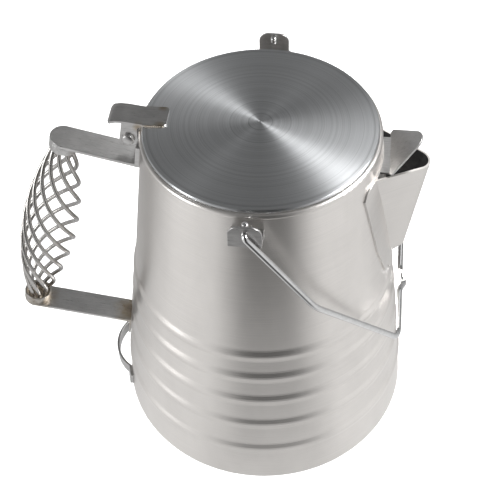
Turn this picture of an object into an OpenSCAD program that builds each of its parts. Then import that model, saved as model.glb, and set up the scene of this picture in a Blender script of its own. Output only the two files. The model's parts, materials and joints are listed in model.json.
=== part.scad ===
// Camp coffee percolator: tapered steel pot with a wire-cage side handle,
// a swinging bail, a V spout, a hinged flat lid and a lift-out pump and basket.
// +Z is up, +X points to the spout, -X to the side handle. The origin is the
// centre of the base, on the surface the pot stands on.

/* [Pot] */
// Radius the straight wall would have at the very bottom
wall_foot_r = 84.2; // [80:0.1:88]
// Radius lost per millimetre of height
wall_taper = 0.1258; // [0.11:0.0002:0.14]
// Sheet thickness of the pot
sheet = 1.0; // [0.8:0.1:1.4]
// Height where the wall meets the rolled rim
wall_top = 197; // [192:0.5:198]
// Radius of the rolled rim's bead
bead_r = 1.5; // [1:0.1:1.6]
// Radius of the rounded bottom corner
corner_r = 7.5; // [6:0.5:9]
// Number of rolled ribs
rib_count = 5; // [3:1:5]
// Height of the lowest rib
rib_z = 31; // [28:0.5:32]
// Height from the lowest rib to the second
rib_pitch = 21; // [19:0.5:22]
// How much closer each further rib is to the one below
rib_closing = 1.6; // [0:0.1:2]
// How far a rib stands out
rib_depth = 1.0; // [0.4:0.1:1.2]
// Width of one rib
rib_w = 9; // [6:0.5:11]

/* [Lid] */
// Radius of the lid
lid_r = 58.7; // [57.5:0.1:59]
// Height of the lid's edge above the ground
lid_edge_z = 201.9; // [201.5:0.1:202.5]
// How much higher the lid is at its centre
lid_crown = 1.6; // [0.5:0.1:3]
// Outer radius of the ring that drops into the mouth
skirt_r = 54; // [52:0.5:54]
// Height of the ring's lower edge
skirt_z = 195.5; // [195:0.5:197]
// Distance of the hinge axis from the pot's axis
hinge_x = 65.7; // [65.5:0.1:66]
// Height of the hinge axis
hinge_z = 193; // [192:0.5:193.5]
// Width of the thumb lever
lever_w = 13.6; // [12:0.2:15]

/* [Side handle] */
// Width of both handle straps
strap_w = 15.5; // [14:0.5:16]
// Thickness of both handle straps
strap_t = 2; // [1.5:0.1:2.2]
// Upper strap: distance of the grip's end from the pot's axis
upper_x = 100.5; // [98:0.5:102]
// Upper strap: height of its top there
upper_z = 185.4; // [184:0.1:186.5]
// Upper strap: slope, in degrees
upper_slope = 14; // [10:0.5:16]
// Lower strap: distance of the grip's end from the pot's axis
lower_x = 136.6; // [134:0.1:138]
// Lower strap: height of its top there
lower_z = 53.7; // [52:0.1:55]
// Lower strap: slope, in degrees
lower_slope = 9; // [6:0.5:11]
// Number of wires in the grip
grip_wires = 8; // [7:1:9]
// Diameter of a grip wire
grip_wire_d = 2.2; // [1.8:0.1:2.4]
// Radius of the cage where the wires leave the cups
grip_end_r = 4.4; // [4.2:0.1:5]
// Radius of the cage at its middle
grip_mid_r = 14.5; // [13:0.5:16]
// How far the middle of the cage bows away from the pot
grip_bow = 0; // [-1:0.5:3]
// Turns that each wire makes
grip_turns = 1; // [0.75:0.05:1.1]
// Angle of the first wire, in degrees
grip_phase = 20; // [0:5:40]

/* [Bail] */
// Diameter of the bail wire
bail_d = 3.2; // [2.8:0.1:3.3]
// Half the distance between the bail's two straight legs
bail_half = 72.7; // [72.6:0.1:73.5]
// Height of the bail's pivots
bail_z = 198.6; // [198:0.1:199]
// Distance from the pivots to the bend in each leg
bail_kink = 56.6; // [50:0.1:64]
// Distance from the pivots to the crossbar
bail_reach = 132; // [130:0.5:135]
// Half the length of the crossbar
bail_bar = 41; // [36:0.5:46]
// How far the notch in the crossbar stands out
bail_notch = 4.5; // [3:0.5:6]
// Angle that the bail hangs below the horizontal
bail_drop = 54.3; // [50:0.1:54.5]

/* [Spout] */
// Sheet thickness of the spout
spout_t = 1.2; // [0.8:0.1:1.4]
// Height of the spout's edge at the pot
spout_z = 188; // [186:0.5:189]
// Distance of the spout's tip from the pot's axis
spout_tip_x = 85; // [82:0.5:87]
// Height of the spout's tip
spout_tip_z = 185; // [183:0.5:186]
// Half the spout's width at the pot
spout_half = 22.5; // [20:0.5:24]
// Angle at which the spout guard stands up
guard_angle = 40; // [35:1:60]
// Length of the spout guard
guard_len = 19.3; // [16:0.1:20]

/* [Pump and basket] */
// Outer radius of the pump tube
tube_r = 5; // [4.5:0.1:5.5]
// Height of the pump tube's top
tube_top = 184; // [180:1:185]
// Radius of the pump's bell
bell_r = 40; // [36:1:44]
// Height of the basket's floor
basket_z = 112; // [108:1:114]
// Height of the basket's wall
basket_h = 50; // [46:1:52]
// Radius of the basket
basket_r = 42; // [38:1:44]

/* [Hidden] */
$fn = 64;

steel = "#b9b9b6";
bright = "#d6d6d4";
dull = "#9d9b97";
warm = "#a89a86";

eps = 0.01;
bead_x = wall_foot_r - wall_taper * wall_top - sheet / 2;
bead_z = wall_top + bead_r - 0.25;
taper_angle = atan(wall_taper);
corner_c = wall_foot_r - wall_taper * corner_r - corner_r * 1.03;

// --- the pot's wall ---------------------------------------------------------

// Radius of the plain tapering wall at height z
function cone_r(z) = wall_foot_r - wall_taper * z;
// Height of rib i
function rib_mid(i) = rib_z + i * rib_pitch - rib_closing * i * (i - 1) / 2;
// How far the ribs stand out at height z
function rib_at(z) = rib_depth * max([for (i = [0:rib_count - 1])
    let (d = abs(z - rib_mid(i)) / rib_w)
    d < 0.5 ? pow(cos(180 * d), 2) : 0]);
// Heights at which the wall's outline has a point
rib_steps = [for (i = [0:rib_count - 1]) for (j = [-4:4]) rib_mid(i) + j * rib_w / 8];
// The wall's outline, inset from the outer face by s
function wall_line(s) = concat(
    [for (a = [-90:15:-5]) [corner_c + (corner_r - s) * cos(a), corner_r + (corner_r - s) * sin(a)]],
    [for (z = rib_steps) [cone_r(z) + rib_at(z) - s, z]],
    [[cone_r(wall_top) - s, wall_top]]);
function reversed(v) = [for (i = [len(v) - 1:-1:0]) v[i]];

// Everything inside the pot's outer face
module pot_solid() {
    rotate_extrude() polygon(concat([[0, 0]], wall_line(0), [[0, wall_top]]));
}
// A plain cone that stands s outside the wall, between two heights
module wall_cone(s, z0, z1) {
    translate([0, 0, z0]) cylinder(r1 = cone_r(z0) + s, r2 = cone_r(z1) + s, h = z1 - z0);
}

strainer_r = 1.8;
// Height and number of holes of each row
strainer_rows = [[170, 5], [161, 5], [151, 3], [141, 3]];
strainer_step = 4.4;

module body_shell() {
    color(steel) difference() {
        union() {
            rotate_extrude() polygon(concat(wall_line(0), reversed(wall_line(sheet))));
            rotate_extrude() translate([bead_x, bead_z]) circle(bead_r);
        }
        for (row = strainer_rows) for (i = [0:row[1] - 1])
            rotate([0, 0, (i - (row[1] - 1) / 2) * strainer_step])
                translate([cone_r(row[0]) - 4, 0, row[0]]) rotate([0, 90, 0])
                    cylinder(r = strainer_r, h = 8, $fn = 24);
    }
}

module base_plate() {
    color(dull) cylinder(r = corner_c, h = sheet);
}

// --- the spout --------------------------------------------------------------

tip_r = 7.2;
keel_r = 2.6;
keel_low = [74, 0, 124];
keel_end = [68.5, 0, 118];
root_x = 54;
// Half-width and height of the spout's form further down, inside the pot
root_mid = [17.8, 150];
root_low = [14.4, 122];

// The spout's outer form, made smaller all round by s
module spout_form(s) {
    hull() {
        translate([spout_tip_x - tip_r, 0, spout_tip_z - eps]) cylinder(r = tip_r - s, h = eps, $fn = 32);
        translate(keel_low) sphere(keel_r - s, $fn = 24);
        translate(keel_end) sphere(keel_r - s, $fn = 24);
        for (y = [-1, 1]) {
            translate([root_x, y * (spout_half - s), spout_z - eps]) cube(eps, center = true);
            for (root = [root_mid, root_low])
                translate([root_x, y * (root[0] - s), root[1]]) cube(eps, center = true);
        }
    }
}

module spout_channel() {
    color(steel) difference() {
        spout_form(0);
        spout_form(spout_t);
        wall_cone(sheet, 100, 195);
        // the channel is open at the top, along the slope of its edges
        translate([62, 0, spout_z - 1.3]) rotate([0, atan((spout_z - spout_tip_z) / 27), 0])
            translate([-8, -40, 0]) cube([60, 80, 12]);
    }
}

flange_low = 109;
flange_foot_r = 14;
flange_half = [[188, 25], [186.5, 28.5], [183, 31], [165, 28.5], [141, 25], [120, 18.5]];

// The part of the pot's face that the spout's flange covers, seen along X
module flange_outline() {
    arc_z = flange_low + flange_foot_r;
    polygon(concat([for (p = flange_half) [p[1], p[0]]],
        [for (a = [-15:-15:-165]) [flange_foot_r * cos(a), arc_z + flange_foot_r * sin(a)]],
        [for (p = reversed(flange_half)) [-p[1], p[0]]]));
}

// The hole in the flange that lets the coffee into the spout
module spout_way() {
    polygon([[-15.5, 183], [15.5, 183], [9.1, 150], [5.2, 132], [-5.2, 132], [-9.1, 150]]);
}

module spout_flange() {
    color(steel) difference() {
        intersection() {
            rotate([0, 0, 180]) wall_cone(sheet, flange_low - 1, 190);
            translate([20, 0, 0]) rotate([90, 0, 90]) linear_extrude(80) flange_outline();
        }
        rotate([0, 0, 180]) wall_cone(0, flange_low - 2, 191);
        translate([20, 0, 0]) rotate([90, 0, 90]) linear_extrude(80) spout_way();
    }
}

guard_t = 1.1;
guard_x = 65;
guard_z = 188.2;
guard_half = 16.2;
guard_nose = 7;
guard_corner = 1.5;
bridge_y = [-14.5, 11];

// The guard's outline: straight sides that run into its round nose
module guard_outline() {
    nose_x = guard_len - guard_nose;
    side = [guard_corner - nose_x, guard_half];
    turn = atan2(side[1], side[0]) - acos(guard_nose / norm(side));
    join = [nose_x + guard_nose * cos(turn), guard_nose * sin(turn)];
    translate([nose_x, 0]) circle(guard_nose);
    polygon([[0, guard_corner - guard_half], [guard_corner, -guard_half], [join[0], -join[1]],
        join, [guard_corner, guard_half], [0, guard_half - guard_corner]]);
}

module spout_guard() {
    root = cone_r(guard_z);
    color(steel) {
        difference() {
            translate([root - 2, bridge_y[0], guard_z - guard_t])
                cube([guard_x - root + 2.5, bridge_y[1] - bridge_y[0], guard_t]);
            wall_cone(sheet, 180, 195);
        }
        translate([guard_x, 0, guard_z - guard_t]) rotate([0, -guard_angle, 0])
            linear_extrude(guard_t) guard_outline();
    }
}

// --- the side handle --------------------------------------------------------

cup_wall = 1;
cup_depth = 4.5;
flange_h = 12;

// A point on a strap's axis line, h above the strap's top face
function on_strap(x, z, slope, h) = [-x + h * sin(slope), 0, z + h * cos(slope)];
// Height of a strap's top face where it reaches the pot's wall
function foot_z(x, z, slope) = z - (x - cone_r(z)) * tan(slope);

// A strap with one round end; the other end turns along the wall by rise
// (up if positive) and is cut to the wall
module strap(x, z, slope, rise) {
    foot = foot_z(x, z, slope);
    under = on_strap(x, z, slope, -strap_t);
    wall = -cone_r(foot);
    end = foot + rise;
    end_wall = -cone_r(end);
    top_line = function (u) z - (u + x) * tan(slope);
    low_line = function (u) under[2] - (u - under[0]) * tan(slope);
    top_edge = rise > 0
        ? [[wall - strap_t, top_line(wall - strap_t)], [end_wall - strap_t, end], [end_wall + 2, end]]
        : [[wall + 2, top_line(wall + 2)]];
    low_edge = rise > 0
        ? [[wall + 2, low_line(wall + 2)]]
        : [[end_wall + 2, end], [end_wall - strap_t, end], [wall - strap_t, low_line(wall - strap_t)]];
    tip = strap_w * [-cos(slope), sin(slope)];
    difference() {
        translate([0, strap_w / 2, 0]) rotate([90, 0, 0]) linear_extrude(strap_w)
            polygon(concat([[-x, z] + tip], top_edge, low_edge, [[under[0], under[2]] + tip]));
        translate([-x, 0, z]) rotate([0, slope, 0]) difference() {
            translate([-strap_w * 2, -strap_w, -strap_w]) cube(strap_w * 2);
            translate([0, 0, -strap_w - 1]) cylinder(r = strap_w * 0.505, h = strap_w * 2 + 2);
        }
        wall_cone(rise > 0 ? 0 : rib_depth, 2, 196);
    }
}

module upper_strap() {
    color(steel) strap(upper_x, upper_z, upper_slope, flange_h);
}

module lower_strap() {
    color(warm) strap(lower_x, lower_z, lower_slope, -flange_h);
}

module cup_ring() {
    difference() {
        cylinder(r = strap_w / 2, h = cup_depth);
        translate([0, 0, -1]) cylinder(r = strap_w / 2 - cup_wall, h = cup_depth + 2);
    }
}

module upper_grip_cup() {
    color(steel) translate([-upper_x, 0, upper_z]) rotate([0, upper_slope, 0])
        translate([0, 0, -strap_t - cup_depth]) cup_ring();
}

module lower_grip_cup() {
    color(warm) translate([-lower_x, 0, lower_z]) rotate([0, lower_slope, 0]) cup_ring();
}

cage_top = on_strap(upper_x, upper_z, upper_slope, -strap_t - cup_depth);
cage_low = on_strap(lower_x, lower_z, lower_slope, cup_depth);
cage_dir = (cage_low - cage_top) / norm(cage_low - cage_top);
cage_out = [cage_dir[2], 0, -cage_dir[0]];
wire_steps = 30;
wire_sides = 8;

function cage_r(t) = grip_end_r + (grip_mid_r - grip_end_r) * pow(max(sin(180 * t), 0), 0.85);
// A point on wire k, t from 0 at the upper cup to 1 at the lower one
function cage_point(k, t) =
    let (a = 360 * k / grip_wires + grip_phase - 360 * grip_turns * t)
    cage_top + (cage_low - cage_top) * t + cage_out * (grip_bow * sin(180 * t) + cage_r(t) * cos(a))
    + [0, cage_r(t) * sin(a), 0];
// The end of wire k inside a cup, h above the strap's top face
function cup_point(k, t, x, z, slope, h) =
    let (a = 360 * k / grip_wires + grip_phase - 360 * grip_turns * t)
    on_strap(x, z, slope, h) + grip_end_r * [-cos(slope) * cos(a), sin(a), sin(slope) * cos(a)];
function wire_path(k) = concat(
    [for (h = [0, -cup_depth]) cup_point(k, 0, upper_x, upper_z, upper_slope, h - strap_t)],
    [for (i = [1:wire_steps - 1]) cage_point(k, i / wire_steps)],
    [for (h = [cup_depth, 0]) cup_point(k, 1, lower_x, lower_z, lower_slope, h)]);

// No wire runs along this direction
wire_side = [0.4, 0, 0.92];
function unit(v) = v / norm(v);
// Direction of a path at point i; the ends look along their first and last legs
function heading(p, i) = unit(p[min(i + 1, len(p) - 1)] - p[max(i - 1, 0)]);
// A ring of points round p[i], square to the path
function ring_at(p, i, r) =
    let (h = heading(p, i), u = unit(cross(h, wire_side)), v = cross(h, u), step = 360 / wire_sides)
    [for (j = [0:wire_sides - 1]) p[i] + r * (u * cos(step * j) + v * sin(step * j))];

module swept_wire(p, r) {
    n = wire_sides;
    last = len(p) - 1;
    polyhedron(
        points = [for (i = [0:last]) each ring_at(p, i, r)],
        faces = concat([[for (j = [0:n - 1]) j]], [[for (j = [n - 1:-1:0]) last * n + j]],
            [for (i = [0:last - 1]) for (j = [0:n - 1])
                each [[i * n + j, (i + 1) * n + j, (i + 1) * n + (j + 1) % n],
                    [i * n + j, (i + 1) * n + (j + 1) % n, i * n + (j + 1) % n]]]));
}

module grip_wire(k) {
    color(dull) swept_wire(wire_path(k), grip_wire_d / 2);
}

// --- the lid and its hinge --------------------------------------------------

pin_r = 1.5;
pin_gap = 0.05;
pin_head_r = 3.35;
pin_head_t = 1.2;
knuckle_r = 3;
ear_t = 1.3;
ear_gap = 0.35;
lever_t = 1.2;
hem_h = 1.9;
hem_w = 3.4;
lid_steps = [for (i = [0:12]) i / 12];

lid_flat_r = lid_r - hem_h / 2;
function lid_z(r) = lid_edge_z + lid_crown * (1 - pow(r / lid_flat_r, 2));

module lid_top() {
    color(bright) rotate_extrude() {
        polygon(concat(
            [for (s = lid_steps) [s * lid_flat_r, lid_z(s * lid_flat_r)]],
            [for (a = [75:-15:-75])
                [lid_flat_r + hem_h / 2 * cos(a), lid_edge_z - hem_h / 2 * (1 - sin(a))]],
            [[lid_flat_r, lid_edge_z - hem_h], [lid_r - hem_w, lid_edge_z - hem_h]],
            [for (s = reversed(lid_steps)) [s * (lid_r - hem_w), lid_z(s * (lid_r - hem_w)) - sheet]]));
    }
}

module lid_skirt() {
    color(steel) difference() {
        translate([0, 0, skirt_z]) cylinder(r = skirt_r, h = lid_edge_z - skirt_z - 0.4);
        translate([0, 0, skirt_z - 1]) cylinder(r = skirt_r - sheet, h = 20);
        lid_top();
    }
}

lever_flat = 46;
lever_bend = 57.5;
lever_crest = 67.5;
lever_tail = 75.5;
lever_z = 202.9;
crest_z = 204.3;
lever_round = 2;
ear_r = 4.5;
ear_top = [-68.2, -57.9];
ear_neck_x = -60.6;
ear_root_z = 200.2;

// The lever's section along X: flat tab, rising plate, curl at the end
module lever_section() {
    polygon([[-lever_flat, lid_edge_z - 1], [-lever_flat, lever_z + 0.4], [-lever_bend, lever_z],
        [-lever_crest, crest_z], [-lever_crest - 3.5, crest_z + 0.05], [-lever_tail + 1.5, crest_z - 0.5],
        [-lever_tail, crest_z - 1.5], [-lever_tail + 0.6, crest_z - 2.3], [-lever_crest - 4, crest_z - 1.2],
        [-lever_crest, crest_z - lever_t], [-lever_bend - 0.8, lever_z - lever_t],
        [-lever_bend, lid_edge_z - 1]]);
}

// The lever's outline seen from above, with round corners
module lever_plan() {
    half = lever_w / 2;
    translate([-lever_tail, lever_round - half])
        square([lever_tail - lever_flat, lever_w - lever_round * 2]);
    translate([lever_round - lever_tail, -half])
        square([lever_tail - lever_flat - lever_round * 2, lever_w]);
    for (x = [lever_round - lever_tail, -lever_flat - lever_round]) for (s = [-1, 1])
        translate([x, s * (half - lever_round)]) circle(lever_round);
}

module lever_ear() {
    difference() {
        union() {
            translate([-hinge_x, hinge_z]) circle(ear_r);
            polygon([[-hinge_x - ear_r, hinge_z], [ear_top[0], crest_z - lever_t / 2],
                [ear_top[1], lever_z - lever_t / 2], [ear_top[1], ear_root_z + 1.2],
                [ear_neck_x, ear_root_z], [-hinge_x + ear_r, hinge_z]]);
        }
        translate([-hinge_x, hinge_z]) circle(pin_r);
    }
}

module thumb_lever() {
    color(bright) difference() {
        union() {
            intersection() {
                translate([0, lever_w / 2, 0]) rotate([90, 0, 0]) linear_extrude(lever_w) lever_section();
                translate([0, 0, lid_edge_z - 5]) linear_extrude(20) lever_plan();
            }
            for (y = [-lever_w / 2 + ear_t, lever_w / 2])
                translate([0, y, 0]) rotate([90, 0, 0]) linear_extrude(ear_t) lever_ear();
        }
        lid_top();
        translate([0, 0, lid_edge_z - 3]) cylinder(r = lid_r + 0.01, h = 3.02);
    }
}

module hinge_pin() {
    color(bright) translate([-hinge_x, 0, hinge_z]) rotate([90, 0, 0]) {
        cylinder(r = pin_r, h = lever_w + 0.4, center = true);
        for (s = [-1, 1]) translate([0, 0, s * (lever_w + pin_head_t) / 2])
            cylinder(r = pin_head_r, h = pin_head_t, center = true);
    }
}

module hinge_knuckle() {
    half = lever_w / 2 - ear_t - ear_gap;
    leaf_z = foot_z(upper_x, upper_z, upper_slope) + flange_h;
    color(steel) difference() {
        union() {
            translate([-hinge_x, half, hinge_z]) rotate([90, 0, 0]) cylinder(r = knuckle_r, h = half * 2);
            translate([-hinge_x + knuckle_r - 1.6, -half, leaf_z]) cube([5, half * 2, hinge_z - leaf_z]);
        }
        translate([-hinge_x, half + 1, hinge_z]) rotate([90, 0, 0])
            cylinder(r = pin_r + pin_gap, h = half * 2 + 2);
        wall_cone(0, 170, 197);
    }
}

// --- the bail, its lugs and the tilt loop -----------------------------------

lug_half = 8;
lug_t = 1.2;
lug_out = 70.7;
lug_low = 186;
lug_web = 190;
lug_top = 203;
lug_round = 5;
bail_gap = 0.1;

// The near lug; the far one is its mirror image
module bail_lug() {
    difference() {
        union() {
            intersection() {
                wall_cone(lug_t, lug_low, lug_web + lug_t);
                translate([-lug_half, -100, 0]) cube([lug_half * 2, 100, 300]);
            }
            translate([-lug_half, -lug_out, lug_web]) cube([lug_half * 2, 16, lug_t]);
            translate([0, -lug_out + lug_t, 0]) rotate([90, 0, 0]) linear_extrude(lug_t) {
                translate([-lug_half, lug_web]) square([lug_half * 2, lug_top - lug_round - lug_web]);
                translate([-lug_half + lug_round, lug_web])
                    square([(lug_half - lug_round) * 2, lug_top - lug_web]);
                for (s = [-1, 1])
                    translate([s * (lug_half - lug_round), lug_top - lug_round]) circle(lug_round);
            }
        }
        wall_cone(0, 150, 196);
        translate([0, -lug_out - 1, bail_z]) rotate([-90, 0, 0])
            cylinder(r = bail_d / 2 + bail_gap, h = lug_t + 2);
    }
}

module near_bail_lug() {
    color(steel) bail_lug();
}

module far_bail_lug() {
    color(steel) mirror([0, 1, 0]) bail_lug();
}

stub_y = lug_out - lug_t - bail_d / 2 - 0.5;
stub_h = 3.6;

bend_steps = 4;
// A corner of a bent wire: a short curve that starts and ends r from point b
function bent(a, b, c, r) =
    let (p = b + unit(a - b) * r, q = b + unit(c - b) * r)
    [for (i = [0:bend_steps]) let (t = i / bend_steps)
        p * (1 - t) * (1 - t) + b * 2 * t * (1 - t) + q * t * t];
// A point of the bail at rest: u along its plane from the pivots, v sideways
function bail_point(u, v) = [u * cos(bail_drop), v, bail_z - u * sin(bail_drop)];
function mirrored(v) = [for (p = v) [p[0], -p[1], p[2]]];

// The near half of the bail, from the end of its stub to the notch
bail_corners = [[0, -stub_y, bail_z + stub_h], [0, -stub_y, bail_z], bail_point(0, -bail_half),
    bail_point(bail_kink, -bail_half), bail_point(bail_reach, -bail_bar),
    bail_point(bail_reach, -bail_notch * 1.5), bail_point(bail_reach + bail_notch, 0),
    bail_point(bail_reach, bail_notch * 1.5)];
bail_bends = [2.2, 2.4, 5, 7, 3.4, 2.5];
bail_line = concat([bail_corners[0]],
    [for (i = [1:6])
        each bent(bail_corners[i - 1], bail_corners[i], bail_corners[i + 1], bail_bends[i - 1])]);
// The near half stops short of the notch's own curve, which both halves share
bail_near = [for (i = [0:len(bail_line) - 2 - bend_steps]) bail_line[i]];
bail_tip = [for (i = [len(bail_line) - 1 - bend_steps:len(bail_line) - 1]) bail_line[i]];

module bail_wire() {
    color(bright) swept_wire(concat(bail_near, bail_tip, reversed(mirrored(bail_near))), bail_d / 2);
}

loop_low = 8;
loop_h = 8;
loop_out = 92;
loop_r = 25.4;
loop_t = 1.4;
loop_foot = [20, 28];

module tilt_loop() {
    color(steel) difference() {
        union() {
            translate([-loop_out + loop_r, 0, loop_low]) difference() {
                cylinder(r = loop_r, h = loop_h);
                translate([0, 0, -1]) cylinder(r = loop_r - loop_t, h = loop_h + 2);
            }
            for (s = [-1, 1]) intersection() {
                wall_cone(loop_t, loop_low, loop_low + loop_h);
                translate([-100, s > 0 ? loop_foot[0] : -loop_foot[1], 0])
                    cube([60, loop_foot[1] - loop_foot[0], 50]);
            }
        }
        pot_solid();
    }
}

// --- the pump and the basket ------------------------------------------------

tube_wall = 0.8;
bell_z = sheet + 0.05;
bell_h = 26;
stop_h = 2;
slide_gap = 0.1;
perf_r = 1;
hub_h = 14;
spreader_z = basket_z + basket_h + 0.05;

module pump_tube() {
    color(steel) difference() {
        translate([0, 0, bell_z + bell_h]) cylinder(r = tube_r, h = tube_top - bell_z - bell_h);
        translate([0, 0, bell_z]) cylinder(r = tube_r - tube_wall, h = tube_top);
    }
}

module pump_bell() {
    color(steel) translate([0, 0, bell_z]) difference() {
        rotate_extrude() polygon([[bell_r - 1, 0], [bell_r, 0], [bell_r, 5], [tube_r, bell_h],
            [tube_r - tube_wall, bell_h], [tube_r - tube_wall, bell_h - 1.2], [bell_r - 1, 4.4]]);
        for (a = [0:90:359]) rotate([0, 0, a + 45]) translate([bell_r - 4, 0, 2])
            rotate([0, 90, 0]) cylinder(r = 1.5, h = 8, $fn = 24);
    }
}

module basket_stop() {
    color(bright) translate([0, 0, basket_z - stop_h - 0.05]) difference() {
        cylinder(r = tube_r + 2.5, h = stop_h);
        translate([0, 0, -1]) cylinder(r = tube_r, h = stop_h + 2);
    }
}

// Rings of small holes through a round plate of radius r
module perforations(r, h) {
    for (k = [1:3]) for (i = [0:k * 8 - 1])
        rotate([0, 0, i * 45 / k]) translate([r * (0.12 + k * 0.25), 0, -1])
            cylinder(r = perf_r, h = h + 2, $fn = 16);
}

module coffee_basket() {
    color(steel) translate([0, 0, basket_z]) difference() {
        union() {
            difference() {
                cylinder(r = basket_r, h = basket_h);
                translate([0, 0, sheet]) cylinder(r = basket_r - sheet, h = basket_h);
            }
            cylinder(r = tube_r + 1.2, h = hub_h);
        }
        translate([0, 0, -1]) cylinder(r = tube_r + slide_gap, h = hub_h + 2);
        perforations(basket_r, sheet);
    }
}

module basket_spreader() {
    color(steel) translate([0, 0, spreader_z]) difference() {
        union() {
            cylinder(r = basket_r, h = sheet);
            translate([0, 0, -3]) cylinder(r = basket_r - sheet - 0.5, h = 4);
            cylinder(r = tube_r + 1.6, h = 5);
        }
        translate([0, 0, -4]) cylinder(r = basket_r - sheet * 2 - 0.5, h = 4);
        translate([0, 0, -5]) cylinder(r = tube_r + slide_gap, h = 12);
        perforations(basket_r, sheet);
    }
}

body_shell();
base_plate();
spout_channel();
spout_flange();
spout_guard();
upper_strap();
lower_strap();
upper_grip_cup();
lower_grip_cup();
for (k = [1:grip_wires]) grip_wire(k);
hinge_knuckle();
near_bail_lug();
far_bail_lug();
tilt_loop();
lid_top();
lid_skirt();
thumb_lever();
hinge_pin();
bail_wire();
pump_tube();
pump_bell();
basket_stop();
coffee_basket();
basket_spreader();
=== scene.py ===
"""Camp coffee percolator: the looks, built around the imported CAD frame."""

import json
import math

import bmesh
import bpy
from mathutils import Matrix, Vector

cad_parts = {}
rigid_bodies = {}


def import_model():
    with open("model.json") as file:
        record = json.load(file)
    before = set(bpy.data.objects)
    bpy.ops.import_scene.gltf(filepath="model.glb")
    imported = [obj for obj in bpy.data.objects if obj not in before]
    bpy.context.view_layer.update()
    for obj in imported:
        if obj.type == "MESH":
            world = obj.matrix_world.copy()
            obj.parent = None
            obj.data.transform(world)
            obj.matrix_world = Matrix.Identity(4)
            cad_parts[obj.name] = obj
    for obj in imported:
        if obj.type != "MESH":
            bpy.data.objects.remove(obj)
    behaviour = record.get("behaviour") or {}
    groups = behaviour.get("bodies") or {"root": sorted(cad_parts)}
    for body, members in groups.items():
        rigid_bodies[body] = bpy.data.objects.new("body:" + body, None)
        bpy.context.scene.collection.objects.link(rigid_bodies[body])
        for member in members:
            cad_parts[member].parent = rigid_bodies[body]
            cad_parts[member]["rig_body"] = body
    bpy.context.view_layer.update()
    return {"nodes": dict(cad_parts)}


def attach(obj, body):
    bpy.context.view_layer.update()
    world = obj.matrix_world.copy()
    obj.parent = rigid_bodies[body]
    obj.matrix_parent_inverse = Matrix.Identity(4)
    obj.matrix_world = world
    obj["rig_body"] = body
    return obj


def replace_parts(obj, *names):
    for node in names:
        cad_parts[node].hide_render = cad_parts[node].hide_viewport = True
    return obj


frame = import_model()
MM = 0.001
TAU = 2 * math.pi

# ---------------------------------------------------------------------------
# Node helpers
# ---------------------------------------------------------------------------


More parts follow.
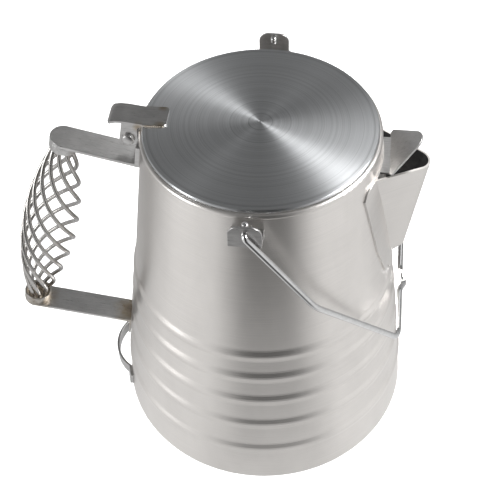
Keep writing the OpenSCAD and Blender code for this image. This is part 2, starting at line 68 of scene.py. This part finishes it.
class Nodes:
    """A short way to add and link the nodes of one material or world."""

    def __init__(self, holder):
        holder.use_nodes = True
        self.holder = holder
        self.tree = holder.node_tree
        self.shader = self.tree.nodes.get("Principled BSDF")

    def add(self, kind, **settings):
        node = self.tree.nodes.new(kind)
        for key, value in settings.items():
            setattr(node, key, value)
        return node

    def link(self, source, target):
        self.tree.links.new(source, target)

    def math(self, operation, a, b=None):
        node = self.add("ShaderNodeMath", operation=operation)
        for socket, value in zip(node.inputs, (a, b)):
            if value is None:
                continue
            if isinstance(value, (int, float)):
                socket.default_value = value
            else:
                self.link(value, socket)
        return node.outputs[0]

    def position(self):
        """The point on the surface, in millimetres, in the object's own frame."""
        coordinates = self.add("ShaderNodeTexCoord")
        scale = self.add("ShaderNodeVectorMath", operation="SCALE")
        scale.inputs["Scale"].default_value = 1 / MM
        self.link(coordinates.outputs["Object"], scale.inputs[0])
        return scale.outputs[0]

    def split(self, vector):
        node = self.add("ShaderNodeSeparateXYZ")
        self.link(vector, node.inputs[0])
        return node.outputs

    def join(self, x, y, z):
        node = self.add("ShaderNodeCombineXYZ")
        for socket, value in zip(node.inputs, (x, y, z)):
            if isinstance(value, (int, float)):
                socket.default_value = value
            else:
                self.link(value, socket)
        return node.outputs[0]

    def noise(self, vector, scale=1.0, detail=3.0, roughness=0.6):
        node = self.add("ShaderNodeTexNoise")
        node.inputs["Scale"].default_value = scale
        node.inputs["Detail"].default_value = detail
        node.inputs["Roughness"].default_value = roughness
        self.link(vector, node.inputs["Vector"])
        return node.outputs["Fac"]

    def ramp(self, value, stops):
        node = self.add("ShaderNodeValToRGB")
        elements = node.color_ramp.elements
        while len(elements) < len(stops):
            elements.new(0.5)
        for element, (place, colour) in zip(elements, stops):
            element.position = place
            element.color = (*colour, 1)
        self.link(value, node.inputs[0])
        return node.outputs[0]

    def greyscale(self, value, stops):
        return self.ramp(value, [(place, (grey, grey, grey)) for place, grey in stops])

    def length(self, x, y):
        """How far a point lies from the pot's axis."""
        return self.math("SQRT", self.math("ADD", self.math("MULTIPLY", x, x), self.math("MULTIPLY", y, y)))

    def heading(self, x, y):
        """Which way a point lies: 0 and 1 behind the pot, 0.25 on its left, 0.5 ahead, 0.75 on its right."""
        turn = self.math("ARCTAN2", x, self.math("MULTIPLY", y, -1))
        return self.math("ADD", self.math("DIVIDE", turn, TAU), 0.5)

    def mix(self, amount, a, b, blend="MIX"):
        node = self.add("ShaderNodeMix", data_type="RGBA", blend_type=blend)
        for socket, value in zip((node.inputs[0], node.inputs[6], node.inputs[7]), (amount, a, b)):
            if isinstance(value, (int, float)):
                socket.default_value = value
            elif isinstance(value, tuple):
                socket.default_value = (*value, 1)
            else:
                self.link(value, socket)
        return node.outputs[2]

    def bump(self, height, distance, strength=1.0):
        node = self.add("ShaderNodeBump")
        node.inputs["Distance"].default_value = distance
        node.inputs["Strength"].default_value = strength
        self.link(height, node.inputs["Height"])
        self.link(node.outputs[0], self.shader.inputs["Normal"])

    def metal(self, roughness_low, roughness_high, driver, anisotropy=0.0):
        """Sets the metal and drives its roughness between two values."""
        self.shader.inputs["Metallic"].default_value = 1.0
        self.shader.inputs["Anisotropic"].default_value = anisotropy
        spread = self.add("ShaderNodeMapRange")
        spread.inputs["To Min"].default_value = roughness_low
        spread.inputs["To Max"].default_value = roughness_high
        self.link(driver, spread.inputs["Value"])
        self.link(spread.outputs[0], self.shader.inputs["Roughness"])

    def turned_tangent(self):
        """Grooves that run round the pot's axis."""
        node = self.add("ShaderNodeTangent", direction_type="RADIAL", axis="Z")
        self.link(node.outputs[0], self.shader.inputs["Tangent"])
        self.shader.inputs["Anisotropic Rotation"].default_value = 0.25


def greys(low, high, warm=1.0):
    """Two ramp stops of a steel grey, a little warm (or, below 1, a little blue)."""
    green, blue = 2 - warm, 3 - 2 * warm
    return [(0.3, (low, low * green, low * blue)), (0.7, (high, high * green, high * blue))]


# ---------------------------------------------------------------------------
# Materials
# ---------------------------------------------------------------------------

def brushed_wall(name):
    """Satin steel brushed round the pot, with faint vertical clouding."""
    n = Nodes(bpy.data.materials.new(name))
    x, y, z = n.split(n.position())
    angle = n.math("ARCTAN2", y, x)
    lines = n.noise(n.join(n.math("MULTIPLY", angle, 1.6), 0.0, n.math("MULTIPLY", z, 5.0)), 1.0, 4.0, 0.7)
    clouds = n.noise(n.join(n.math("MULTIPLY", angle, 3.0), 0.0, n.math("MULTIPLY", z, 0.02)), 1.0, 3.0)
    shade = n.mix(0.25, n.ramp(lines, greys(0.56, 0.70, 1.035)), n.ramp(clouds, greys(0.52, 0.74, 1.035)))
    n.link(shade, n.shader.inputs["Base Color"])
    n.metal(0.27, 0.40, lines, 0.55)
    n.turned_tangent()
    n.bump(lines, 0.02 * MM, 0.5)
    return n.holder


def turned_lid(name):
    """Flat steel turned on a lathe: fine rings, and a few deeper ones bumped in with painted shade along
    them.
    """
    n = Nodes(bpy.data.materials.new(name))
    x, y, z = n.split(n.position())
    radius = n.length(x, y)
    rings = n.noise(n.join(n.math("MULTIPLY", radius, 1.8), 0.0, 0.0), 1.0, 5.0, 0.75)
    broad = n.noise(n.join(n.math("MULTIPLY", radius, 0.35), 7.0, 0.0), 1.0, 2.0)
    stops = [(0.0, (1, 1, 1))]
    for ring, half in LID_RINGS:
        stops += [((ring - half) / LID_R, (1, 1, 1)), (ring / LID_R, (0, 0, 0)),
                  ((ring + half) / LID_R, (1, 1, 1))]
    groove_depth_and_shade = n.ramp(n.math("DIVIDE", radius, LID_R), stops)
    shade = n.mix(0.4, n.ramp(rings, greys(0.30, 0.66, 0.98)), n.ramp(broad, greys(0.38, 0.60, 0.98)))
    # Painted shade: the base colour is darker along the deeper rings
    shade = n.mix(0.25, shade, groove_depth_and_shade, "MULTIPLY")
    n.link(shade, n.shader.inputs["Base Color"])
    n.metal(0.26, 0.40, rings, 0.85)
    n.turned_tangent()
    n.bump(n.math("ADD", n.math("MULTIPLY", rings, 0.6), groove_depth_and_shade), 0.06 * MM, 0.5)
    return n.holder


def brushed_strip(name, welds=(), reach=12.0, tint=0.8):
    """Satin strip steel, with an oxide tint near each weld."""
    n = Nodes(bpy.data.materials.new(name))
    position = n.position()
    x, y, z = n.split(position)
    stretched = n.join(n.math("MULTIPLY", x, 0.12), n.math("MULTIPLY", y, 3.0), n.math("MULTIPLY", z, 0.6))
    lines = n.noise(stretched, 1.0, 4.0, 0.7)
    patches = n.noise(position, 0.09, 3.0)
    shade = n.mix(0.3, n.ramp(lines, greys(0.36, 0.56, 1.012)), n.ramp(patches, greys(0.26, 0.58, 1.012)))
    for centre in welds:
        gap = n.add("ShaderNodeVectorMath", operation="DISTANCE")
        n.link(position, gap.inputs[0])
        gap.inputs[1].default_value = centre
        wander = n.math("MULTIPLY", n.noise(position, 0.25, 2.0), reach * 0.8)
        wandered = n.math("SUBTRACT", n.math("ADD", gap.outputs["Value"], wander), reach * 0.4)
        oxide = n.ramp(n.math("DIVIDE", wandered, reach), OXIDE)
        shade = n.mix(tint, shade, oxide, "MULTIPLY")
    n.link(shade, n.shader.inputs["Base Color"])
    n.metal(0.22, 0.38, lines)
    n.bump(lines, 0.02 * MM, 0.5)
    return n.holder


def drawn_wire(name, low, high, rough_low, rough_high, warm=1.0):
    """Wire with faint draw lines and dull patches."""
    n = Nodes(bpy.data.materials.new(name))
    position = n.position()
    patches = n.noise(position, 0.35, 4.0, 0.7)
    fine = n.noise(position, 4.0, 3.0)
    shade = n.mix(0.35, n.ramp(patches, greys(low, high, warm)), n.ramp(fine, greys(low, high, warm)))
    n.link(shade, n.shader.inputs["Base Color"])
    n.metal(rough_low, rough_high, patches)
    n.bump(fine, 0.02 * MM, 0.3)
    return n.holder


def inner_steel(name):
    """Bright spun steel of the pump and basket."""
    n = Nodes(bpy.data.materials.new(name))
    x, y, z = n.split(n.position())
    radius = n.length(x, y)
    rings = n.noise(n.join(n.math("MULTIPLY", radius, 2.0), 0.0, n.math("MULTIPLY", z, 2.0)), 1.0, 4.0, 0.7)
    n.link(n.ramp(rings, greys(0.56, 0.70)), n.shader.inputs["Base Color"])
    n.metal(0.22, 0.36, rings, 0.4)
    n.turned_tangent()
    n.bump(rings, 0.02 * MM, 0.4)
    return n.holder


# Near-black painted shade for the spout's inside, which the real one keeps in shadow, and the line (x, y)
# that its faces look at
SPOUT_PAINTED_SHADE = drawn_wire("spout_inside_painted_shade", 0.03, 0.07, 0.45, 0.6)
SPOUT_MIDDLE = (70.0, 0.0)
# Weld tint outwards from a weld: brown, straw, clean
OXIDE = [(0.0, (0.34, 0.24, 0.15)), (0.35, (0.62, 0.50, 0.34)), (1.0, (1.0, 1.0, 1.0))]
# Radius of the lid, as the CAD builds it
LID_R = 58.7
# Radius and half-width of the rings that are cut deeper into the lid, bumped in and darkened there with
# painted shade
LID_RINGS = ((6.0, 0.5), (15.0, 0.4), (55.9, 0.6))
WALL = brushed_wall("wall_steel")
LID = turned_lid("turned_steel")
STRIP = brushed_strip("strip_steel")
STRIP_LOW = brushed_strip("strip_steel_tinted", ((-136, 0, 54), (-80, 0, 45)), 13)
STRIP_LEVER = brushed_strip("lever_steel", ((-49, -6.8, 203), (-49, 6.8, 203), (-60, -6.8, 201)), 3.5, 0.7)
STRIP_BEAD = brushed_strip("weld_steel", ((-136, 0, 54), (-49, 0, 203)), 16)
WIRE = drawn_wire("grip_wire_steel", 0.34, 0.56, 0.18, 0.32, 1.03)
BAIL = drawn_wire("bail_wire_steel", 0.54, 0.70, 0.06, 0.14)
INNER = inner_steel("spun_steel")

# ---------------------------------------------------------------------------
# Pieces
# ---------------------------------------------------------------------------


def paint(obj, material):
    obj.data.materials.clear()
    obj.data.materials.append(material)


def refined(node, material, edge=0.25 * MM, inside=None):
    """A copy of a CAD node with its sharp edges rounded, which stands for it.

    Faces that look at the vertical line through inside take the second material, a near-black painted shade.
    """
    source = frame["nodes"][node]
    mesh = source.data.copy()
    work = bmesh.new()
    work.from_mesh(mesh)
    bmesh.ops.remove_doubles(work, verts=work.verts, dist=0.002 * MM)
    bmesh.ops.dissolve_limit(work, angle_limit=math.radians(0.5), verts=work.verts, edges=work.edges)
    work.to_mesh(mesh)
    work.free()
    piece = bpy.data.objects.new(node + "_shown", mesh)
    bpy.context.scene.collection.objects.link(piece)
    for polygon in mesh.polygons:
        polygon.use_smooth = True
    bevel = piece.modifiers.new("edges", "BEVEL")
    bevel.width = edge
    bevel.segments = 2
    bevel.limit_method = "ANGLE"
    bevel.angle_limit = math.radians(35)
    normals = piece.modifiers.new("normals", "WEIGHTED_NORMAL")
    normals.weight = 100
    normals.keep_sharp = False
    paint(piece, material)
    # Faces that look inwards are painted near-black: painted shade for the spout's inside
    if inside:
        mesh.materials.append(SPOUT_PAINTED_SHADE)
        for polygon in mesh.polygons:
            away = Vector((polygon.center.x - inside[0] * MM, polygon.center.y, 0))
            if polygon.normal.dot(away) < 0:
                polygon.material_index = 1
    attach(piece, source["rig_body"])
    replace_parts(piece, node)


def new_piece(name, verts, faces, material, body):
    mesh = bpy.data.meshes.new(name)
    mesh.from_pydata(verts, [], faces)
    mesh.validate()
    for polygon in mesh.polygons:
        polygon.use_smooth = True
    piece = bpy.data.objects.new(name, mesh)
    bpy.context.scene.collection.objects.link(piece)
    paint(piece, material)
    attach(piece, body)
    return piece


def tube_mesh(points, radius, sides=14):
    """Rings square to a path, turned as little as possible from one to the next, with domed ends."""
    verts, faces = [], []
    points = [Vector(p) for p in points]
    last = len(points) - 1
    side = None
    for i, point in enumerate(points):
        heading = (points[min(i + 1, last)] - points[max(i - 1, 0)]).normalized()
        if side is None:
            side = heading.orthogonal().normalized()
        side = (side - heading * side.dot(heading)).normalized()
        across = heading.cross(side)
        for j in range(sides):
            angle = TAU * j / sides
            verts.append(point + radius * (side * math.cos(angle) + across * math.sin(angle)))
    for i in range(last):
        for j in range(sides):
            k = (j + 1) % sides
            faces.append((i * sides + j, i * sides + k, (i + 1) * sides + k, (i + 1) * sides + j))
    for end, order in ((0, -1), (last, 1)):
        heading = (points[end] - points[end - 1 if end else 1]).normalized()
        ring = [end * sides + j for j in range(sides)]
        inner = []
        for j in range(sides):
            spoke = verts[ring[j]] - points[end]
            inner.append(len(verts))
            verts.append(points[end] + spoke * 0.75 + heading * radius * 0.3)
        for j in range(sides):
            k = (j + 1) % sides
            quad = (ring[j], ring[k], inner[k], inner[j])
            faces.append(quad if order > 0 else quad[::-1])
        faces.append(inner if order > 0 else inner[::-1])
    return verts, faces


# The side handle's cage, in millimetres and degrees. It is as the CAD builds it, except that the
# wire is 2.4 mm thick here and 2.2 mm there. A strap is its end's x, z and slope.
STRAP_T = 2.0
CUP_DEPTH = 4.5
UPPER = (100.5, 185.4, 14.0)
LOWER = (136.6, 53.7, 9.0)
GRIP_WIRES = 8
GRIP_WIRE_R = 1.2
GRIP_END_R = 4.4
GRIP_MID_R = 14.5
GRIP_PHASE = 20.0
GRIP_FULLNESS = 0.85


def on_strap(strap, height):
    """A point on a strap's axis line, height above its top face."""
    x, z, slope = strap
    lean = math.radians(slope)
    return Vector((-x + height * math.sin(lean), 0, z + height * math.cos(lean)))


def cup_point(k, turn, strap, height):
    """The end of wire k inside a cup, height above the strap's top face."""
    lean = math.radians(strap[2])
    angle = TAU * (k / GRIP_WIRES - turn) + math.radians(GRIP_PHASE)
    spoke = Vector((-math.cos(lean) * math.cos(angle), math.sin(angle), math.sin(lean) * math.cos(angle)))
    return on_strap(strap, height) + GRIP_END_R * spoke


def cage_path(k, steps=90):
    top = on_strap(UPPER, -STRAP_T - CUP_DEPTH)
    low = on_strap(LOWER, CUP_DEPTH)
    along = (low - top).normalized()
    outward = Vector((along.z, 0, -along.x))
    path = []
    for i in range(2, steps - 1):
        t = i / steps
        swell = max(math.sin(math.pi * t), 0) ** GRIP_FULLNESS
        radius = GRIP_END_R + (GRIP_MID_R - GRIP_END_R) * swell
        angle = TAU * (k / GRIP_WIRES - t) + math.radians(GRIP_PHASE)
        spoke = outward * math.cos(angle) + Vector((0, math.sin(angle), 0))
        path.append(top.lerp(low, t) + radius * spoke)
    head = [cup_point(k, 0, UPPER, h - STRAP_T) for h in (0, -CUP_DEPTH)]
    foot = [cup_point(k, 1, LOWER, h) for h in (CUP_DEPTH, 0)]
    return [p * MM for p in head + path + foot]


def grip():
    for k in range(1, GRIP_WIRES + 1):
        verts, faces = tube_mesh(cage_path(k), GRIP_WIRE_R * MM)
        piece = new_piece(f"cage_wire_{k}", verts, faces, WIRE, "pot")
        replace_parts(piece, f"grip_wire_{k}")


# The bail, as the CAD builds it
BAIL_R = 1.6
BAIL_Z = 198.6
BAIL_HALF = 72.7
BAIL_KINK = 56.6
BAIL_REACH = 132.0
BAIL_BAR = 41.0
BAIL_NOTCH = 4.5
BAIL_DROP = 54.3
STUB_Y = 67.4
STUB_H = 3.6


def bent(a, b, c, r, steps=8):
    """A bent corner of wire: a short curve that starts and ends r from point b."""
    p = b + (a - b).normalized() * r
    q = b + (c - b).normalized() * r
    places = [i / steps for i in range(steps + 1)]
    return [p * (1 - t) ** 2 + b * 2 * t * (1 - t) + q * t * t for t in places]


def bail_point(u, v):
    drop = math.radians(BAIL_DROP)
    return Vector((u * math.cos(drop), v, BAIL_Z - u * math.sin(drop)))


def bail():
    near = [Vector((0, -STUB_Y, BAIL_Z + STUB_H)), Vector((0, -STUB_Y, BAIL_Z)), bail_point(0, -BAIL_HALF),
            bail_point(BAIL_KINK, -BAIL_HALF), bail_point(BAIL_REACH, -BAIL_BAR),
            bail_point(BAIL_REACH, -BAIL_NOTCH * 1.5)]
    far = [Vector((p.x, -p.y, p.z)) for p in reversed(near)]
    corners = near + [bail_point(BAIL_REACH + BAIL_NOTCH, 0)] + far
    bends = [2.2, 2.4, 5, 7, 3.4, 2.5, 3.4, 7, 5, 2.4, 2.2]
    path = [corners[0]]
    for i, r in enumerate(bends, 1):
        path += bent(corners[i - 1], corners[i], corners[i + 1], r)
    path.append(corners[-1])
    verts, faces = tube_mesh([p * MM for p in path], BAIL_R * MM, 20)
    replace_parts(new_piece("bail_rod", verts, faces, BAIL, "bail"), "bail_wire")


# The hinge, the lever's half-width and the grip's cups, as the CAD builds them
HINGE = (-65.7, 0, 193)
LEVER_HALF = 6.8
PIN_HEAD_R = 3.35
PIN_HEAD_T = 1.2
CUP_R = 7.75
# Rivet domes and weld beads, which the CAD leaves out
DOME_R = PIN_HEAD_R - 0.25
DOME_H = 0.9
BEAD_R = 0.55
# Where the beads beside the lever run, along X, and the height of the lid's top face there
LEVER_BEAD_X = (-57.6, -47.6)
LEVER_BEAD_Z = 202.3
# How far inside a cup's outer edge its bead runs, and the share of the circle that it covers
CUP_BEAD_INSET = 0.4
CUP_BEAD_SHARE = 0.92


def dome(name, centre, way, radius, height, body):
    """A shallow round rivet head that looks along Y."""
    verts, faces = [], []
    rings, sides = 6, 32
    for i in range(rings):
        climb = i / rings * math.pi / 2
        r = radius * math.cos(climb)
        lift = way * height * math.sin(climb)
        for j in range(sides):
            a = TAU * j / sides
            verts.append((Vector(centre) + Vector((r * math.cos(a), lift, r * math.sin(a)))) * MM)
    for i in range(rings - 1):
        for j in range(sides):
            k = (j + 1) % sides
            quad = (i * sides + j, i * sides + k, (i + 1) * sides + k, (i + 1) * sides + j)
            faces.append(quad[::-1] if way < 0 else quad)
    top = [(rings - 1) * sides + j for j in range(sides)]
    faces.append(top[::-1] if way < 0 else top)
    faces.append(list(range(sides))[::-way])
    new_piece(name, verts, faces, STRIP, body)


def bead(name, points, body):
    """A weld bead: a thin rope of steel along the points."""
    verts, faces = tube_mesh([p * MM for p in points], BEAD_R * MM, 10)
    new_piece(name, verts, faces, STRIP_BEAD, body)


def fittings():
    """Rivet domes and weld beads, too small for the CAD."""
    for name, way in (("near_rivet_dome", -1), ("far_rivet_dome", 1)):
        head = (HINGE[0], way * (LEVER_HALF + PIN_HEAD_T), HINGE[2])
        dome(name, head, way, DOME_R, DOME_H, "lid")
    for name, way in (("near_lever_bead", -1), ("far_lever_bead", 1)):
        steps = 40
        points = []
        for i in range(steps + 1):
            x = LEVER_BEAD_X[0] + (LEVER_BEAD_X[1] - LEVER_BEAD_X[0]) * i / steps
            y = LEVER_HALF + 0.1 + 0.12 * math.sin(i * 1.6)
            points.append(Vector((x, way * y, LEVER_BEAD_Z)))
        bead(name, points, "lid")
    for name, strap, height in (("upper_cup_bead", UPPER, -STRAP_T - 0.1), ("lower_cup_bead", LOWER, 0.1)):
        lean = math.radians(strap[2])
        along = Vector((math.cos(lean), 0, -math.sin(lean)))
        steps = 72
        points = []
        for i in range(steps + 1):
            a = TAU * CUP_BEAD_SHARE * i / steps + 0.25
            r = CUP_R - CUP_BEAD_INSET + 0.1 * math.sin(i * 1.9)
            spoke = along * math.cos(a) + Vector((0, math.sin(a), 0))
            points.append(on_strap(strap, height) + r * spoke)
        bead(name, points, "pot")


for node, obj in frame["nodes"].items():
    paint(obj, STRIP)
for node in ("body_shell", "base_plate", "spout_channel", "spout_flange"):
    paint(frame["nodes"][node], WALL)
paint(frame["nodes"]["lid_top"], LID)
for node in frame["nodes"]:
    if node.startswith("grip_wire"):
        paint(frame["nodes"][node], WIRE)
paint(frame["nodes"]["bail_wire"], BAIL)
for node in ("lid_skirt", "pump_tube", "pump_bell", "basket_stop", "coffee_basket", "basket_spreader"):
    paint(frame["nodes"][node], INNER)

grip()
bail()
for node in ("upper_strap", "upper_grip_cup", "hinge_knuckle", "near_bail_lug", "far_bail_lug",
             "tilt_loop"):
    refined(node, STRIP)
for node in ("lower_strap", "lower_grip_cup"):
    refined(node, STRIP_LOW)
refined("thumb_lever", STRIP_LEVER)
refined("spout_guard", STRIP)
refined("spout_channel", WALL, 0.3 * MM, SPOUT_MIDDLE)
refined("spout_flange", WALL, 0.3 * MM)
fittings()

# ---------------------------------------------------------------------------
# Floor, light and camera
# ---------------------------------------------------------------------------

# Brightness of the studio's walls by heading, as Nodes.heading counts it
STUDIO_WALLS = [(0.0, 0.42), (0.12, 0.5), (0.22, 0.7), (0.33, 1.0), (0.42, 0.8), (0.475, 0.05),
                (0.575, 0.05), (0.64, 0.8), (0.72, 1.0), (0.85, 0.5), (1.0, 0.42)]
# Brightness of the mirrored floor by heading, measured the same way
STUDIO_FLOOR = [(0.0, 0.45), (0.12, 0.50), (0.22, 0.62), (0.32, 0.92), (0.42, 1.0), (0.66, 1.0),
                (0.76, 0.85), (0.84, 0.58), (0.90, 0.46), (1.0, 0.42)]
# The dark sector of the mirrored floor by heading, and its brightness outwards over
# FLOOR_REACH millimetres
FLOOR_SECTOR = [(0.41, 0), (0.48, 1), (0.575, 1), (0.64, 0)]
FLOOR_REACH = 500.0
FLOOR_DARK = [(0.2, 0.85), (0.4, 0.50), (0.52, 0.36), (0.64, 0.13), (1.0, 0.06)]
# Brightness of the studio by height: 0 at the horizon, 1 straight up
STUDIO_CEILING = [(0.0, 1.0), (0.35, 0.9), (0.6, 0.45), (1.0, 0.35)]

def floor():
    half = 3.0
    corners = [(-half, -half, 0), (half, -half, 0), (half, half, 0), (-half, half, 0)]
    mesh = bpy.data.meshes.new("floor")
    mesh.from_pydata(corners, [], [(0, 1, 2, 3)])
    obj = bpy.data.objects.new("floor", mesh)
    bpy.context.scene.collection.objects.link(obj)
    obj.location.z = -0.0002
    material = bpy.data.materials.new("floor_white")
    material.use_nodes = True
    shader = material.node_tree.nodes["Principled BSDF"]
    shader.inputs["Base Color"].default_value = (0.93, 0.93, 0.93, 1)
    shader.inputs["Roughness"].default_value = 0.9
    obj.data.materials.append(material)


def mirror_floor():
    """What the steel mirrors low down: bright studio floor with a dark sector towards the camera."""
    sides, size = 64, 2.5
    turns = [TAU * j / sides for j in range(sides)]
    verts = [(0, 0, 0)] + [(size * math.cos(a), size * math.sin(a), 0) for a in turns]
    mesh = bpy.data.meshes.new("mirror_floor")
    mesh.from_pydata(verts, [], [(0, j + 1, (j + 1) % sides + 1) for j in range(sides)])
    obj = bpy.data.objects.new("mirror_floor", mesh)
    bpy.context.scene.collection.objects.link(obj)
    obj.location.z = -0.0001
    obj.visible_camera = False
    obj.visible_diffuse = False
    obj.visible_shadow = False
    obj.visible_transmission = False
    n = Nodes(bpy.data.materials.new("mirror_floor_glow"))
    x, y, z = n.split(n.position())
    heading = n.heading(x, y)
    reach = n.math("DIVIDE", n.length(x, y), FLOOR_REACH)
    glow = n.mix(n.greyscale(heading, FLOOR_SECTOR), n.greyscale(heading, STUDIO_FLOOR),
                 n.greyscale(reach, FLOOR_DARK))
    n.link(glow, n.shader.inputs["Emission Color"])
    n.shader.inputs["Base Color"].default_value = (0, 0, 0, 1)
    n.shader.inputs["Specular IOR Level"].default_value = 0
    n.shader.inputs["Emission Strength"].default_value = 1.0
    obj.data.materials.append(n.holder)


def softbox(name, place, target, width, height, power):
    data = bpy.data.lights.new(name, "AREA")
    data.shape = "RECTANGLE"
    data.size = width
    data.size_y = height
    data.energy = power
    data.use_shadow = False
    obj = bpy.data.objects.new(name, data)
    bpy.context.scene.collection.objects.link(obj)
    obj.location = place
    obj.rotation_euler = (Vector(target) - Vector(place)).to_track_quat("-Z", "Y").to_euler()


def camera():
    """The photograph's own view from above the front: a place and three directions fitted to it."""
    forward = Vector((-0.0883, 0.6537, -0.7516))
    right = Vector((0.9937, 0.1103, -0.0207))
    down = Vector((0.0694, -0.7486, -0.6593))
    data = bpy.data.cameras.new("camera")
    data.lens = 80
    data.sensor_width = 36
    data.clip_start = 0.01
    obj = bpy.data.objects.new("camera", data)
    bpy.context.scene.collection.objects.link(obj)
    turn = Matrix((right, -down, -forward)).transposed().to_4x4()
    obj.matrix_world = Matrix.Translation((0.0474, -0.4039, 0.5716)) @ turn
    bpy.context.scene.camera = obj


def world():
    """A white studio. What the steel mirrors is darker overhead, at the back and straight ahead."""
    n = Nodes(bpy.data.worlds.new("studio"))
    bpy.context.scene.world = n.holder
    x, y, z = n.split(n.add("ShaderNodeTexCoord").outputs["Generated"])
    walls = n.greyscale(n.heading(x, y), STUDIO_WALLS)
    ceiling = n.greyscale(z, STUDIO_CEILING)
    mirrored = n.mix(1, walls, ceiling, "MULTIPLY")
    rays = n.add("ShaderNodeLightPath")
    seen = n.mix(rays.outputs["Is Glossy Ray"], (1, 1, 1), mirrored)
    background = n.tree.nodes["Background"]
    n.link(seen, background.inputs["Color"])
    background.inputs["Strength"].default_value = 1.0


bpy.context.scene.view_settings.view_transform = "Standard"
floor()
mirror_floor()
camera()
world()
softbox("key", (1.0, 0.15, 1.05), (0, 0, 0.12), 0.55, 0.55, 40)
softbox("left", (-1.1, -0.6, 0.5), (0, 0, 0.1), 0.4, 0.9, 7)
softbox("back", (0.30, 0.80, 1.0), (0, 0, 0.15), 0.35, 0.35, 0.7)
